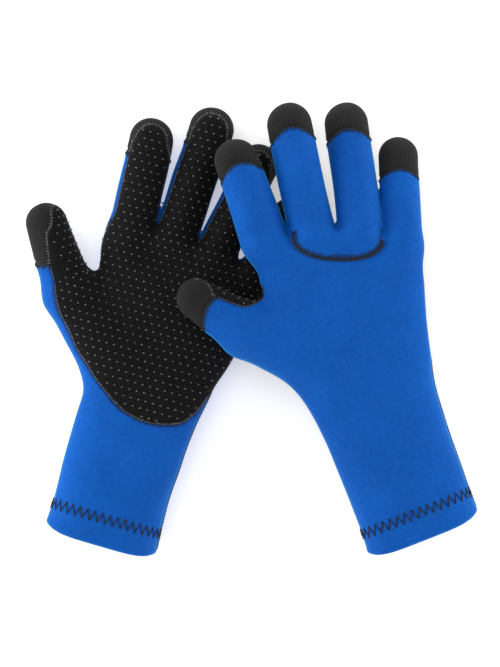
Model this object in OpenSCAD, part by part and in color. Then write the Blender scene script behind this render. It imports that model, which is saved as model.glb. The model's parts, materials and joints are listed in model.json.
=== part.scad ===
// A pair of neoprene sailing gloves, puffed out as if worn. The left glove lies on its back, palm up,
// and the right glove lies across it, palm down. Plan coordinates are millimetres on the table, +Z is up,
// and the origin is on the table under the middle of the pair.
//
// Each glove is drawn in its own plan axes, u towards the little finger and v towards the fingertips,
// with the wrist at their origin. A cross-section is an oval in a vertical plane. Its angle is 0 on the
// little finger's side, 90 at the back of the hand, 180 on the thumb's side and 270 at the palm.

/* [Sheet] */
// Thickness of the neoprene sheet
sheet_t = 3; // [2:0.5:4]
// Thickness of the jersey lining in the cuff
lining_t = 0.8; // [0.5:0.1:1.2]
// Thickness of a line of stitching
thread_t = 0.5; // [0.3:0.1:1]
// Width of a line of stitching
seam_w = 2.4; // [1.6:0.2:4]

/* [Cuff and hand] */
// Width of the cuff at its mouth
cuff_w = 66; // [54:1:80]
// Thickness of the puffed cuff at its mouth
cuff_t = 43; // [36:1:50]
// Length of the cuff from the wrist to its mouth
cuff_l = 84; // [70:1:101]
// Length of the folded hem, which is also the distance of the zigzag stitch from the mouth
hem_l = 13.5; // [10:0.5:17]
// Width of the wrist
wrist_w = 70; // [58:1:82]
// Thickness of the puffed wrist
wrist_t = 36; // [30:1:40]
// Width of the palm below the fingers
palm_w = 95; // [84:1:112]
// Thickness of the puffed palm
palm_t = 29; // [24:1:34]

/* [Fingers] */
// Diameter of the thumb at its root
thumb_d = 28; // [24:0.5:33]
// Diameter of the index finger
index_d = 25.4; // [21:0.5:30]
// Diameter of the middle finger
middle_d = 25; // [21:0.5:30]
// Diameter of the ring finger
ring_d = 24.2; // [20:0.5:29]
// Diameter of the little finger
little_d = 22; // [18:0.5:26]
// Diameter of the thumb's tip
thumb_tip_d = 23.4; // [20:0.2:28]
// Length of a knit fingertip cap over the back of the finger
cap_l = 19; // [14:0.5:24]
// How far a cap folds over the tip onto the palm side
cap_fold = 6.5; // [5:0.5:9]
// Gap between a finger and the pieces that it bends against
joint_gap = 0.4; // [0.3:0.1:0.8]
// Smallest gap between two neighbouring fingers at their roots
web_gap = 0.7; // [0.6:0.1:2]

/* [Seams] */
// Pitch of the zigzag stitch round the cuff
zigzag_pitch = 5; // [4:0.5:8]
// Width of the zigzag stitch
zigzag_w = 5.4; // [3:0.2:7]
// Distance of the knuckle panel's U seam from the finger roots
knuckle_l = 17; // [13:1:21]

/* [Hidden] */
FINGERS = ["thumb", "index", "middle", "ring", "little"];
HAND_PIECES = [
    "back_panel", "knuckle_panel", "palm_panel", "side_seam", "cuff_hem", "cuff_lining",
    "cuff_stitch", "knuckle_stitch", "palm_stitch"
];
FINGER_PIECES = ["back", "palm", "cap", "stitch"];

BLUE = "#1a62c4";
KNIT = "#2e2f30";
GRIP = "#151517";
THREAD = "#0e0e10";

// Radii at the root and at the tip, in the order of FINGERS
root_r = [thumb_d, index_d, middle_d, ring_d, little_d] / 2;
tip_r = [thumb_tip_d, index_d, middle_d, ring_d, little_d] / 2;

// Extra height of the glove on top, over a wider palm or thicker middle fingers
held = max(0, palm_w - 95) * 0.2 + max(0, middle_d - 25) / 2;

// How each glove lies: the wrist's place on the table, the heading of the hand and of the cuff in
// degrees from +X, +1 with the back of the hand up or -1 with the palm up, the rise of the knuckles
// above the resting height, and the place of the middle finger's root.
LEFT = [[-64, -43], 74.2, 73.8, -1, 0, [-7.6, 99.6]];
RIGHT = [[71, -41], 104, 111.5, 1, 30 + held, [-11.8, 105.2]];
function place(g) = g[0];
function heading(g) = g[1];
function cuff_heading(g) = g[2];
function up(g) = g[3];
function rise(g) = g[4];
function middle_root(g) = g[5];

// How each finger lies, in the order of FINGERS: its turn towards the thumb's side, the extra gap and
// the step forward from its neighbour, its length in plan, and the heights of its axis at both ends.
LEFT_POSE = [
    [34.3, 0, 0, 46.8, 16, 22],
    [3.1, 0, 0, 63, 15, 19],
    [-2.8, 0, 0, 77, 14.4, 14.4],
    [-9.9, 0, 3, 69, 14, 14],
    [-13.6, 2.8, 0.7, 46, 13.2, 13.2]
];
RIGHT_POSE = [
    [43.5, 0, 0, 46, 39.8 + held, 44.6 + held],
    [5.6, 1.8, 2.4, 61, 47 + held, 41 + held],
    [-1.9, 0, 0, 74, 46 + held, 30 + held],
    [-6.9, 2.9, -4.7, 75, 45 + held, 14.4],
    [-12, 0, -6.4, 60, 44 + held, 13.4]
];
function poses(g) = up(g) < 0 ? LEFT_POSE : RIGHT_POSE;

// Plan directions in the glove's own axes
function ahead(turn) = [-sin(turn), cos(turn)];
function across(turn) = [cos(turn), sin(turn)];

// Root of finger f in the glove's own axes. The middle finger is set, and each neighbour stands beside
// the one before it, at the two radii and the gap, measured square to its own heading.
thumb_root = [-62.2, 56.5];
function beside(g, f, from, side) =
    root_at(g, from)
    + side * (root_r[f] + root_r[from] + web_gap + poses(g)[f][1]) * across(poses(g)[f][0])
    + poses(g)[f][2] * ahead(poses(g)[f][0]);
function root_at(g, f) =
    f == 0 ? [thumb_root[0] * palm_w / 95, thumb_root[1]] :
    f == 1 ? beside(g, 1, 2, -1) :
    f == 2 ? middle_root(g) :
    beside(g, f, f - 1, 1);

// A point on the table from a point in the glove's own axes. Below the wrist the cuff has its own heading.
function turned(p, h) = [p[0] * sin(h) + p[1] * cos(h), -p[0] * cos(h) + p[1] * sin(h)];
function on_table(g, p, h) = place(g) + turned(p, h);

// Sections of the hand from the mouth of the cuff to the knuckles, each as its two edge points, its half
// thickness and its mid height. SV holds their distances from the wrist.
ROW_V = 97;
SV = concat([-cuff_l, -cuff_l + hem_l, -cuff_l * 0.62, -cuff_l * 0.4],
            [-13, -11, -7, 1, 14, 30, 48, 62], [ROW_V - knuckle_l]);
WRIST = 4;
THUMB = 10;
LAST = len(SV);
function half_w(v) = lookup(v, [
    [-cuff_l, cuff_w / 2], [-cuff_l + hem_l, cuff_w / 2 - 1], [-cuff_l * 0.62, cuff_w / 2],
    [-cuff_l * 0.4, cuff_w / 2 + 0.2], [0, wrist_w / 2], [14, wrist_w / 2 + 3],
    [48, palm_w / 2 - 1], [80, palm_w / 2]]);
function half_t(v) = lookup(v, [
    [-cuff_l, cuff_t / 2], [-cuff_l + hem_l, cuff_t / 2 - 1], [-cuff_l * 0.4, cuff_t / 2 - 1],
    [0, wrist_t / 2], [30, palm_t / 2 + 1.2], [48, palm_t / 2 + 0.4], [62, palm_t / 2], [96, palm_t / 2 - 1]]);
function thumb_side(v) = -lookup(v, [[0, wrist_w / 2], [12, wrist_w / 2 + 8], [23, 54], [38, 68]]);
// Height of the lowest point of a section, before the rise. The cuff is pressed flat where it is under 0.
function low_z(v) = lookup(v, [
    [-cuff_l, -0.6], [-cuff_l + hem_l, 1], [-cuff_l * 0.62, -1.5], [-cuff_l * 0.4, -1.5],
    [0, 0.4], [50, 0], [80, 1.6]]);
// Gap under a line of stitching, and the height of its top above the sheet
LIFT = 0.4;
stitch_top = LIFT + thread_t;
// More gap where a seam runs steeply over the hand
STEEP = 0.3;
function mid_z(g, v) =
    half_t(v) + low_z(v) + rise(g) * lookup(v, [[-cuff_l * 0.4, 0], [0, 0.27], [48, 0.72], [96, 1]]);

// A corner of finger f's root, on the hand's side of the gap
function corner(g, f, side) =
    root_at(g, f) + side * root_r[f] * across(poses(g)[f][0]) - joint_gap * ahead(poses(g)[f][0]);
function thumb_edge(g, i) =
    i == THUMB ? corner(g, 0, -1) :
    i == THUMB + 1 ? corner(g, 0, 1) :
    SV[i] > 0 && i < THUMB ? [thumb_side(SV[i]), SV[i]] :
    [-half_w(SV[i]), SV[i]];
function little_edge(i) = [half_w(SV[i]), SV[i]];

// Place across the row of knuckles at angle a, along the roots of the four fingers. The webs fall near
// 60, 90 and 120 degrees, between narrow steps of angle.
function row_point(g, a) =
    let (c = cos(a),
         stops = [1, cos(59.5), 0, -cos(59.5), -1],
         k = c > stops[1] ? 0 : c > stops[2] ? 1 : c > stops[3] ? 2 : 3,
         f = 4 - k,
         q = (stops[k] - c) / (stops[k] - stops[k + 1]),
         lo = k == 0 ? 0 : 0.035,
         hi = k == 3 ? 1 : 0.965,
         s = max(0, min(1, (q - lo) / (hi - lo))))
    corner(g, f, 1) * (1 - s) + corner(g, f, -1) * s;

// Power that makes the oval a little fuller than an ellipse
FULL = 2.4;
function fuller(x) = sign(x) * pow(abs(x), 2 / FULL);

// Point of an oval section at angle a, a depth d below the outer skin. e holds the edge points on the
// thumb's side and the little finger's side, and h is the heading.
function oval(g, e, v, h, a, d, flat) =
    let (dir = (e[1] - e[0]) / norm(e[1] - e[0]),
         p = on_table(g, flat - dir * d * cos(a), h),
         z = mid_z(g, v) + up(g) * (half_t(v) - d) * fuller(sin(a)))
    [p[0], p[1], up(g) * sin(a) < 0 ? max(z, max(d, 0)) : z];
function straight_oval(g, e, v, h, a, d) =
    oval(g, e, v, h, a, d, (e[0] + e[1]) / 2 + (e[1] - e[0]) / 2 * fuller(cos(a)));
function hand_point(g, i, a, d) =
    i == LAST ? oval(g, [row_point(g, 180), row_point(g, 0)], ROW_V, heading(g), a, d, row_point(g, a)) :
    straight_oval(g, [thumb_edge(g, i), little_edge(i)], SV[i],
        SV[i] < 0 ? cuff_heading(g) : heading(g), a, d);
function cuff_point(g, v, a, d) =
    straight_oval(g, [[-half_w(v), v], [half_w(v), v]], v, cuff_heading(g), a, d);

// Point of finger f, s along its skin from the root, at angle a and depth d. Past the straight part the
// skin turns over the dome of the tip.
function straight_l(g, f) = poses(g)[f][3] - tip_r[f];
function finger_point(g, f, s, a, d) =
    let (pose = poses(g)[f],
         l = straight_l(g, f),
         over = max(0, s - l) / tip_r[f] * 180 / PI,
         y = min(s, l) + (tip_r[f] - d) * sin(over),
         r = (root_r[f] + (tip_r[f] - root_r[f]) * min(s / l, 1) - d) * cos(over),
         h = heading(g) + pose[0],
         o = on_table(g, root_at(g, f) + y * ahead(pose[0]), heading(g)),
         z = pose[4] + (pose[5] - pose[4]) * min(y / l, 1))
    [o[0] + r * cos(a) * sin(h), o[1] - r * cos(a) * cos(h), z + up(g) * r * sin(a)];
// Where a cap's seam runs at angle a: it bows towards the tip over the back of the finger and folds over
// the tip on the palm side.
cap_bow = 3;
function seam_s(g, f, a) =
    let (l = straight_l(g, f),
         back = poses(g)[f][3] - cap_l - cap_bow * (1 - abs(sin(a))),
         palm = l + tip_r[f] * asin(1 - cap_fold / tip_r[f]) * PI / 180,
         k = sin(a) < 0 ? min(1, -1.6 * sin(a)) : 0)
    back * (1 - k) + palm * k;

// Solid between an outer and an inner net of points, both lists of rings. A wrapped net closes on itself
// round the ring, and a domed net is closed at its last ring.
module skin(g, outer, inner, wrap = false, domed = false) {
    m = len(outer);
    n = len(outer[0]);
    jn = wrap ? n : n - 1;
    points = concat([for (row = outer) each row], [for (row = inner) each row]);
    function o(i, j) = i * n + j % n;
    function q(i, j) = m * n + i * n + j % n;
    sides = [for (i = [0:m - 2]) for (j = [0:jn - 1]) each [
        [o(i, j), o(i, j + 1), o(i + 1, j + 1)], [o(i, j), o(i + 1, j + 1), o(i + 1, j)],
        [q(i, j), q(i + 1, j + 1), q(i, j + 1)], [q(i, j), q(i + 1, j), q(i + 1, j + 1)]]];
    edges = wrap ? [] : [for (i = [0:m - 2]) each [
        [o(i, 0), o(i + 1, 0), q(i + 1, 0)], [o(i, 0), q(i + 1, 0), q(i, 0)],
        [o(i, n - 1), q(i + 1, n - 1), o(i + 1, n - 1)], [o(i, n - 1), q(i, n - 1), q(i + 1, n - 1)]]];
    first = [for (j = [0:jn - 1]) each [
        [o(0, j), q(0, j), q(0, j + 1)], [o(0, j), q(0, j + 1), o(0, j + 1)]]];
    last = domed
        ? [for (j = [1:n - 2]) each [
            [o(m - 1, 0), o(m - 1, j), o(m - 1, j + 1)], [q(m - 1, 0), q(m - 1, j + 1), q(m - 1, j)]]]
        : [for (j = [0:jn - 1]) each [
            [o(m - 1, j), q(m - 1, j + 1), q(m - 1, j)], [o(m - 1, j), o(m - 1, j + 1), q(m - 1, j + 1)]]];
    faces = concat(sides, edges, first, last);
    polyhedron(points, up(g) > 0 ? faces : [for (t = faces) [t[0], t[2], t[1]]], convexity = 8);
}

// Skin of the hand over rings, each a section's number and its angles, between two depths
function hand_net(g, rings, d) = [for (r = rings) [for (a = r[1]) hand_point(g, r[0], a, d)]];
module hand_skin(g, rings, outer_d, inner_d, wrap = false) {
    skin(g, hand_net(g, rings, outer_d), hand_net(g, rings, inner_d), wrap);
}

// Half angle of the side seam, and the angle where the palm panel starts, at section i
function seam_half(i) = asin(pow(seam_w / 2 / half_t(i < LAST ? SV[i] : ROW_V), FULL / 2));
PALM_START = [352, 290, 254, 229, 204];
function palm_start(i) = i < WRIST + 5 ? PALM_START[i - WRIST] : 198;
function span(a0, a1, n) = [for (k = [0:n]) a0 + (a1 - a0) * k / n];

// Angles of the blue sheet, from the side seam over the back and round to the palm panel
BACK = [20, 40, 59, 61, 75, 89, 91, 105, 119, 121, 140, 160, 176];
function sheet_angles(i) =
    concat([seam_half(i)], BACK, span(180, i < WRIST ? 360 - seam_half(i) : palm_start(i), 10));
// Angles of the palm panel
PALM = [220, 239, 241, 255, 269, 271, 285, 299, 301, 320, 340];
function panel_angles(i) =
    let (a0 = palm_start(i), a1 = 360 - seam_half(i))
    i < THUMB + 2 ? span(a0, a1, 14) : concat([a0, 207], PALM, [350, a1]);
// Angles of the knuckle panel's two edges at the U seam and at the finger roots
U_EDGE = [75, 105];
ROOT_EDGE = [60, 120];

// The blue sheet: one skin up to the U seam, and a strip on each side of the knuckle panel up to the roots
// of the index finger and the little finger. The strips start on the skin's own points.
module back_panel(g) {
    palm_side = span(180, palm_start(LAST), 10);
    color(BLUE) union() {
        hand_skin(g, [for (i = [0:LAST - 1]) [i, sheet_angles(i)]], 0, sheet_t);
        hand_skin(g, [
            [LAST - 1, [seam_half(LAST - 1), 20, 40, 59, 61, U_EDGE[0]]],
            [LAST, [seam_half(LAST), 20, 40, 50, 59, ROOT_EDGE[0]]]], 0, sheet_t);
        hand_skin(g, [
            [LAST - 1, concat([U_EDGE[1], 119, 121, 140, 160, 176], palm_side)],
            [LAST, concat([ROOT_EDGE[1], 121, 130, 140, 160, 176], palm_side)]], 0, sheet_t);
    }
}
module knuckle_panel(g) {
    color(BLUE) hand_skin(g, [
        [LAST - 1, span(U_EDGE[0], U_EDGE[1], 7)],
        [LAST, [ROOT_EDGE[0], 61, 75, 89, 91, 105, 119, ROOT_EDGE[1]]]], 0, sheet_t);
}
module palm_panel(g) {
    color(GRIP) hand_skin(g, [for (i = [WRIST:LAST]) [i, panel_angles(i)]], 0, sheet_t);
}
module side_seam(g) {
    color(THREAD) hand_skin(g, [for (i = [0:LAST]) [i, [-seam_half(i), 0, seam_half(i)]]], 0, sheet_t);
}
// The sheet's edge, folded back inside the mouth of the cuff
module cuff_hem(g) {
    color(BLUE) hand_skin(g, [for (i = [0:1]) [i, sheet_angles(i)]], sheet_t, 2 * sheet_t, true);
}
module cuff_lining(g) {
    color(THREAD) hand_skin(g, [for (i = [1:3]) [i, sheet_angles(i)]], sheet_t, sheet_t + lining_t, true);
}
module cuff_stitch(g) {
    n = round(PI * (cuff_w + cuff_t) / 2 / zigzag_pitch);
    line = -cuff_l + hem_l;
    function net(d) = [for (side = [-1, 1]) [for (k = [0:2 * n - 1])
        cuff_point(g, line + (k % 2 - 0.5) * zigzag_w + side * thread_t, 180 * k / n, d)]];
    color(THREAD) skin(g, net(-stitch_top), net(-LIFT), true);
}
// The U seam, laid on the knuckle panel along its edge
module knuckle_stitch(g) {
    s = seam_w / knuckle_l;
    top = 0.96;
    edge = [[top, ROOT_EDGE[0]], [0, U_EDGE[0]], [0, 89], [0, 91], [0, U_EDGE[1]], [top, ROOT_EDGE[1]]];
    inside = [[top, 65], [s, 79], [s, 89], [s, 91], [s, 101], [top, 115]];
    function on_panel(p, d) =
        hand_point(g, LAST - 1, p[1], d) * (1 - p[0]) + hand_point(g, LAST, p[1], d) * p[0];
    function net(d) = [for (k = [0:len(edge) - 1]) [on_panel(inside[k], d), on_panel(edge[k], d)]];
    color(THREAD) skin(g, net(-stitch_top), net(-LIFT));
}
module palm_stitch(g) {
    color(THREAD) hand_skin(g, [for (i = [WRIST:THUMB - 1])
        [i, [palm_start(i) - 2, palm_start(i), palm_start(i) + 2]]], -stitch_top - STEEP, -LIFT - STEEP);
}

// Nets of a finger: n rings from the root to the cap's seam, or from the seam over the tip
TURN = 22.5;
function finger_net(g, f, angles, n, d) =
    [for (k = [0:n]) [for (a = angles) finger_point(g, f, seam_s(g, f, a) * k / n, a, d)]];
function cap_net(g, f, angles, n, d) =
    let (end = straight_l(g, f) + tip_r[f] * 0.48 * PI)
    [for (k = [0:n]) [for (a = angles)
        finger_point(g, f, seam_s(g, f, a) + (end - seam_s(g, f, a)) * k / n, a, d)]];

module finger_back(g, f) {
    angles = [0:TURN:180];
    color(BLUE) skin(g, finger_net(g, f, angles, 3, 0), finger_net(g, f, angles, 3, sheet_t));
}
module finger_palm(g, f) {
    angles = [180:TURN:360];
    color(GRIP) skin(g, finger_net(g, f, angles, 3, 0), finger_net(g, f, angles, 3, sheet_t));
}
module finger_cap(g, f) {
    angles = [0:TURN:360 - TURN];
    color(KNIT) skin(g, cap_net(g, f, angles, 5, 0), cap_net(g, f, angles, 5, sheet_t), true, true);
}
module finger_stitch(g, f) {
    function net(d) = [for (side = [-0.5, 0.5]) [for (a = [0:TURN:360 - TURN])
        finger_point(g, f, seam_s(g, f, a) + side * seam_w, a, d)]];
    color(THREAD) skin(g, net(-stitch_top), net(-LIFT), true);
}

for (g = [LEFT, RIGHT]) {
    side = up(g) < 0 ? "left_" : "right_";
    back_panel(g);
    knuckle_panel(g);
    palm_panel(g);
    side_seam(g);
    cuff_hem(g);
    cuff_lining(g);
    cuff_stitch(g);
    knuckle_stitch(g);
    palm_stitch(g);
    for (f = [0:4]) {
        finger = str(side, FINGERS[f]);
        finger_back(g, f);
        finger_palm(g, f);
        finger_cap(g, f);
        finger_stitch(g, f);
    }
}
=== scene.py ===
"""A pair of neoprene sailing gloves with knit fingertip caps and dotted grip palms.

Each glove is worked out flat first, as one puffed surface about a level middle sheet: x and y are the
plan on the table and w is the height above the middle sheet, positive towards the back of the hand.
The flat surface is cut along its seams, each panel gets its thickness, and the whole is then laid over
the height of the real middle sheet. Lengths are millimetres until a mesh is made.
"""
import json
import bpy
import numpy as np
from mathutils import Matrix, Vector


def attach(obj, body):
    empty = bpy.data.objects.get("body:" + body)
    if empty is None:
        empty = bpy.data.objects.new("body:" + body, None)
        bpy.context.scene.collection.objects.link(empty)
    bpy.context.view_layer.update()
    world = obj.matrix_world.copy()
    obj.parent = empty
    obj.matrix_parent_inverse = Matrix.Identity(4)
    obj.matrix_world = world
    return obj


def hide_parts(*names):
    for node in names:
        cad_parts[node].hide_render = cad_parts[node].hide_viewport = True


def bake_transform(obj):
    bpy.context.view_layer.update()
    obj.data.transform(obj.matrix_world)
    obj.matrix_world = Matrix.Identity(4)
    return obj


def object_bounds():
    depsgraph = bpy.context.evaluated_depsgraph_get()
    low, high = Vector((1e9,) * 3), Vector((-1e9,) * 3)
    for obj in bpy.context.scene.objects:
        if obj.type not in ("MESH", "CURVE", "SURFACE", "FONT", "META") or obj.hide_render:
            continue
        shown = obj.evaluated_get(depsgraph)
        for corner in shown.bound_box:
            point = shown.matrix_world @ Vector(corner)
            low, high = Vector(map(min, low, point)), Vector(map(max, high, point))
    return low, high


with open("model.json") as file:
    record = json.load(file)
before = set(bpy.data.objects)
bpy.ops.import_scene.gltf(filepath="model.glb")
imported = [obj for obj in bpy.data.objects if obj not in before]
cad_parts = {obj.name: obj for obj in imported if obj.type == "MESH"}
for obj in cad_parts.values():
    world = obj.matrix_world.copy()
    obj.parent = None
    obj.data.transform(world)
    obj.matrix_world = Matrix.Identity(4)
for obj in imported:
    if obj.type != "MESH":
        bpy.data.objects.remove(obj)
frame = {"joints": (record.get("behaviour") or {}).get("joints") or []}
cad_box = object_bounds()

FINE = 1.2          # spacing of the net that the surface is found on
SHEET = 2.8                                # thickness of the neoprene with its jersey
FULL = 2.4                                 # power that makes a section fuller than an ellipse
CUFF_L, HEM_L, ZIGZAG_W, ZIGZAG_PITCH = 84, 13.5, 5.4, 4.6
MOUTH_BACK = 3.4                           # how far the cuff's edge draws back at its two sides
FOLD, FOLD_W = 0.6, 1.2                    # depth and width of the fold that a seam pulls into the cloth
THUMB_ROLL = np.radians(65)                # turn of the thumb's palm side towards the fingers
LEFT_WEB = 0.3                             # share of WEB that the left glove's flatter thumb keeps
U_AT, U_HALF_W, U_DEEP, U_FULL = 1.3, 26.3, 13.1, 2.3    # middle, size and power of the knuckle panel's U
DOT_PITCH, DOT_HALF_STEP, THUMB_DOT_PITCH = 4.45, 2.22, 4.3
CORD_R = 0.42                              # radius of the thread along a cap's seam
CAMERA_Z, FRAME_W, FRAME_SHAPE = 4.0, 0.290, 667 / 500
FLOOR_Z = -0.35                            # just under the lowest thread
FINGERS = ("thumb", "index", "middle", "ring", "little")
HINGE_R = dict(thumb=14, index=12.7, middle=12.5, ring=12.1, little=11)


# ------------------------------------------------------------------ curves and fields

def eased(rows, soft=9):
    """A table of (place, value) rows as a function: straight between rows, then averaged over a window."""
    x = np.arange(-130, 150, 1.0)
    y = np.interp(x, *np.transpose(rows))
    window = np.hanning(2 * soft + 1) / np.hanning(2 * soft + 1).sum()
    y = np.convolve(np.pad(y, soft, mode="edge"), window, mode="valid")
    return lambda v: np.interp(v, x, y)


def step(a, b, x):
    """0 before a, 1 after b, and 3q^2 - 2q^3 of the share q between."""
    q = np.clip((x - a) / (b - a), 0, 1)
    return q * q * (3 - 2 * q)


def smooth_min(a, b, k):
    """The smaller of two distances, rounded over a width k where they meet."""
    h = np.clip(0.5 + 0.5 * (b - a) / k, 0, 1)
    return b + (a - b) * h - k * h * (1 - h)


# Half the thickness, the height of the lowest skin, and the share of a glove's rise, ahead of the wrist
HALF_T = eased([(-84, 21.5), (-70.5, 20.5), (-33.6, 20.5), (0, 18), (30, 15.7), (48, 14.9), (62, 14.5),
                (96, 13.5)])
LOW_Z = eased([(-84, -0.6), (-70.5, 1), (-52, -1.5), (-33.6, -1.5), (0, 0.4), (50, 0), (80, 1.6)])
RISE = eased([(-33.6, 0), (0, 0.27), (48, 0.72), (96, 1)])
# Where the palm panel ends towards the wrist, as a distance ahead of the wrist at each place across
PALM_END = eased([(-76, 72), (-72, 61.8), (-68, 54.5), (-64.5, 45.3), (-60, 37.5), (-53, 30.3), (-44, 19.2),
                  (-36, 12.2), (-28.5, 5.5), (-16.6, -3), (-9, -7.2), (0, -9.5), (8, -9.9), (17, -8.3),
                  (24.5, -5.6), (29, -1.4), (33, 5), (36, 16)], 3)
# How far the thumb's palm side is held off the back beside the web, at each distance ahead of its root
WEB = eased([(-8, 17), (1, 12), (5, 8), (9, 5), (16, 3.6), (28, 1.7)], 3)
# Length of a knit cap over the middle of the back and down the sides
CAP_L = dict(thumb=(19, 24), index=(14, 21.5), middle=(14.5, 22.5), ring=(16, 22.5), little=(19, 24.5))

# Section rows are (distance from the wrist, shift across, half width). A finger is (how far its round form
# starts behind its root, length, radius at the root, radius at the tip, height of its axis at the tip).
SHAPES = dict(
    left=dict(
        wrist=(-64, -43), heading=74.2, cuff=73.8, up=-1, rise=0, ball=(-21.4, 14.6, 10.4),
        rows=[(-86, -0.6, 33.2), (-68, -1.4, 32.4), (-47, -1.6, 32.5), (-23, -1.7, 33.3), (0, -0.1, 34.2),
              (18, -0.7, 38.3), (37, -1.3, 44.7), (55.7, 0.1, 47.6), (75, 3.2, 47.6), (100, 4.2, 47.5)],
        fingers=dict(thumb=(6.4, 46.8, 15.1, 11.9, 22), index=(12.5, 63, 13.6, 12.8, 19),
                     middle=(2.6, 77, 12.8, 13.0, 14.4), ring=(1.3, 66, 12.2, 11.9, 14),
                     little=(1.4, 46, 10.7, 9.9, 13.2))),
    right=dict(
        wrist=(71, -41), heading=104, cuff=111.5, up=1, rise=30, ball=(-21.3, 21.4, 2.5),
        rows=[(-86, -2.1, 34.6), (-68, -1.7, 33.7), (-42, -1.2, 33.9), (-19, -0.6, 34.8), (0, -0.2, 36),
              (19, -2.4, 40.6), (39, -3.6, 44.1), (60, -2.2, 46.3), (73, -1.3, 47.2), (82, -1.6, 46.6),
              (104, -2.6, 45)],
        fingers=dict(thumb=(-2.5, 46, 15.7, 11.6, 44.6), index=(0, 61, 14.2, 12.8, 41),
                     middle=(1.2, 74, 13.6, 12.8, 30), ring=(1.2, 75, 13.3, 12.5, 14.4),
                     little=(1.7, 60, 11.6, 11.5, 13.4))))


class Glove:
    """One glove's shape as functions of the flat place (x, y, w)."""

    def __init__(self, side, wrist, heading, cuff, up, rise, ball, rows, fingers):
        self.side, self.up, self.rise = side, up, rise
        self.wrist = np.array(wrist, float)
        self.turns = np.radians([cuff, heading])
        v, shift, half = np.transpose(rows)
        self.shift, self.half_w = eased(list(zip(v, shift))), eased(list(zip(v, half)))
        self.fingers = {}
        for joint in frame["joints"]:
            if not joint["name"].startswith(side) or joint["type"] != "hinge":
                continue
            name = joint["child"].split("_")[1]
            behind, length, r0, r1, tip_z = fingers[name]
            root = np.array(joint["pos_m"]) * 1000
            ax, ay = joint["axis"][:2]
            self.fingers[name] = dict(
                root=root[:2], ahead=np.array([-ay, ax]), across=np.array([ax, ay]),
                behind=behind, length=length, r0=r0, r1=r1, z0=root[2] - HINGE_R[name], z1=tip_z,
                body=joint["child"], hinge=root)
        u, v, back = ball
        thumb = self.fingers["thumb"]
        self.ball = (self.from_hand(u, v), thumb["root"] - back * thumb["ahead"])
        h, four = self.turns[1], [self.fingers[n]["root"] - self.wrist for n in FINGERS[1:]]
        across = [p[0] * np.sin(h) - p[1] * np.cos(h) for p in four]
        ahead = [p[0] * np.cos(h) + p[1] * np.sin(h) for p in four]
        self.knuckle_row = eased(list(zip(across, ahead)), 6)

    def from_hand(self, u, v, turn=1):
        """The plan place at u across and v ahead of the wrist."""
        h = self.turns[turn]
        return self.wrist + np.stack([u * np.sin(h) + v * np.cos(h), -u * np.cos(h) + v * np.sin(h)], -1)

    def hand_axes(self, x, y):
        """Across and ahead of the wrist. Below the wrist they follow the cuff, above it the hand."""
        dx, dy = x - self.wrist[0], y - self.wrist[1]
        (uc, vc), (uh, vh) = [(dx * np.sin(h) - dy * np.cos(h), dx * np.cos(h) + dy * np.sin(h))
                              for h in self.turns]
        q = step(-20, 20, vh)
        return uc + (uh - uc) * q, vc + (vh - vc) * q

    def finger_axes(self, f, x, y):
        """Ahead of finger f's root, and across it towards the little finger."""
        dx, dy = x - f["root"][0], y - f["root"][1]
        return dx * f["ahead"][0] + dy * f["ahead"][1], dx * f["across"][0] + dy * f["across"][1]

    def radius(self, f, t):
        """A finger's radius at t ahead of its root."""
        start, stop = -f["behind"], f["length"] - f["r1"]
        return f["r0"] + (f["r1"] - f["r0"]) * np.clip((t - start) / (stop - start), 0, 1)

    def finger_depth(self, f, x, y, w):
        """Distance from a finger's axis to the place, less its radius: a round-ended tapered rod."""
        t, lat = self.finger_axes(f, x, y)
        over = t - np.clip(t, -f["behind"], f["length"] - f["r1"])
        return np.sqrt(lat * lat + over * over + w * w) - self.radius(f, t)

    def depth(self, x, y, w):
        """Distance to the puffed skin, negative inside: the hand's full oval, (a^p + b^p)^(1/p) = 1 across
        and through, joined smoothly to the ball of the thumb and to the five rods of the fingers."""
        u, v = self.hand_axes(x, y)
        half_w, half_t = self.half_w(v), HALF_T(v)
        a, b = np.abs(u - self.shift(v)) / half_w, np.abs(w) / half_t
        k = np.maximum(a ** FULL + b ** FULL, 1e-6) ** (1 / FULL)
        slope = np.sqrt(((a / k) ** (FULL - 1) / half_w) ** 2 + ((b / k) ** (FULL - 1) / half_t) ** 2)
        hand = -smooth_min(-(k - 1) / slope, self.knuckle_row(u) - 3.5 - v, 6)
        (p, q), rod = self.ball, self.ball[1] - self.ball[0]
        share = np.clip(((x - p[0]) * rod[0] + (y - p[1]) * rod[1]) / (rod @ rod), 0, 1)
        gap = np.sqrt((x - p[0] - rod[0] * share) ** 2 + (y - p[1] - rod[1] * share) ** 2 + w * w)
        hand = smooth_min(hand, gap - 17.4 + 2 * share, 8.1)
        hand = smooth_min(hand, self.finger_depth(self.fingers["thumb"], x, y, w), 7)
        four = None
        for name in FINGERS[1:]:
            one = self.finger_depth(self.fingers[name], x, y, w)
            four = one if four is None else smooth_min(four, one, 1.7)
        return smooth_min(hand, four, 9.3)

    def shares(self, x, y):
        """How far each finger is the nearest in plan, as shares that add to 1."""
        plan = np.stack([self.finger_depth(self.fingers[n], x, y, 0 * x) for n in FINGERS])
        share = np.exp(-(plan - plan.min(0)) / 2.5)
        return plan, share / share.sum(0)

    def middle_z(self, x, y):
        """Height of the middle sheet: the hand's own, handed over at the roots to each finger's slope."""
        v = self.hand_axes(x, y)[1]
        hand = HALF_T(v) + LOW_Z(v) + self.rise * RISE(v)
        z = hand.copy()
        for name, share in zip(FINGERS, self.shares(x, y)[1]):
            f = self.fingers[name]
            t = self.finger_axes(f, x, y)[0]
            slope = f["z0"] + (f["z1"] - f["z0"]) * (np.clip(t, 0, f["length"]) / f["length"]) ** 1.15
            z += share * step(-8, 14, t) * (slope - hand)
        return z

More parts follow.
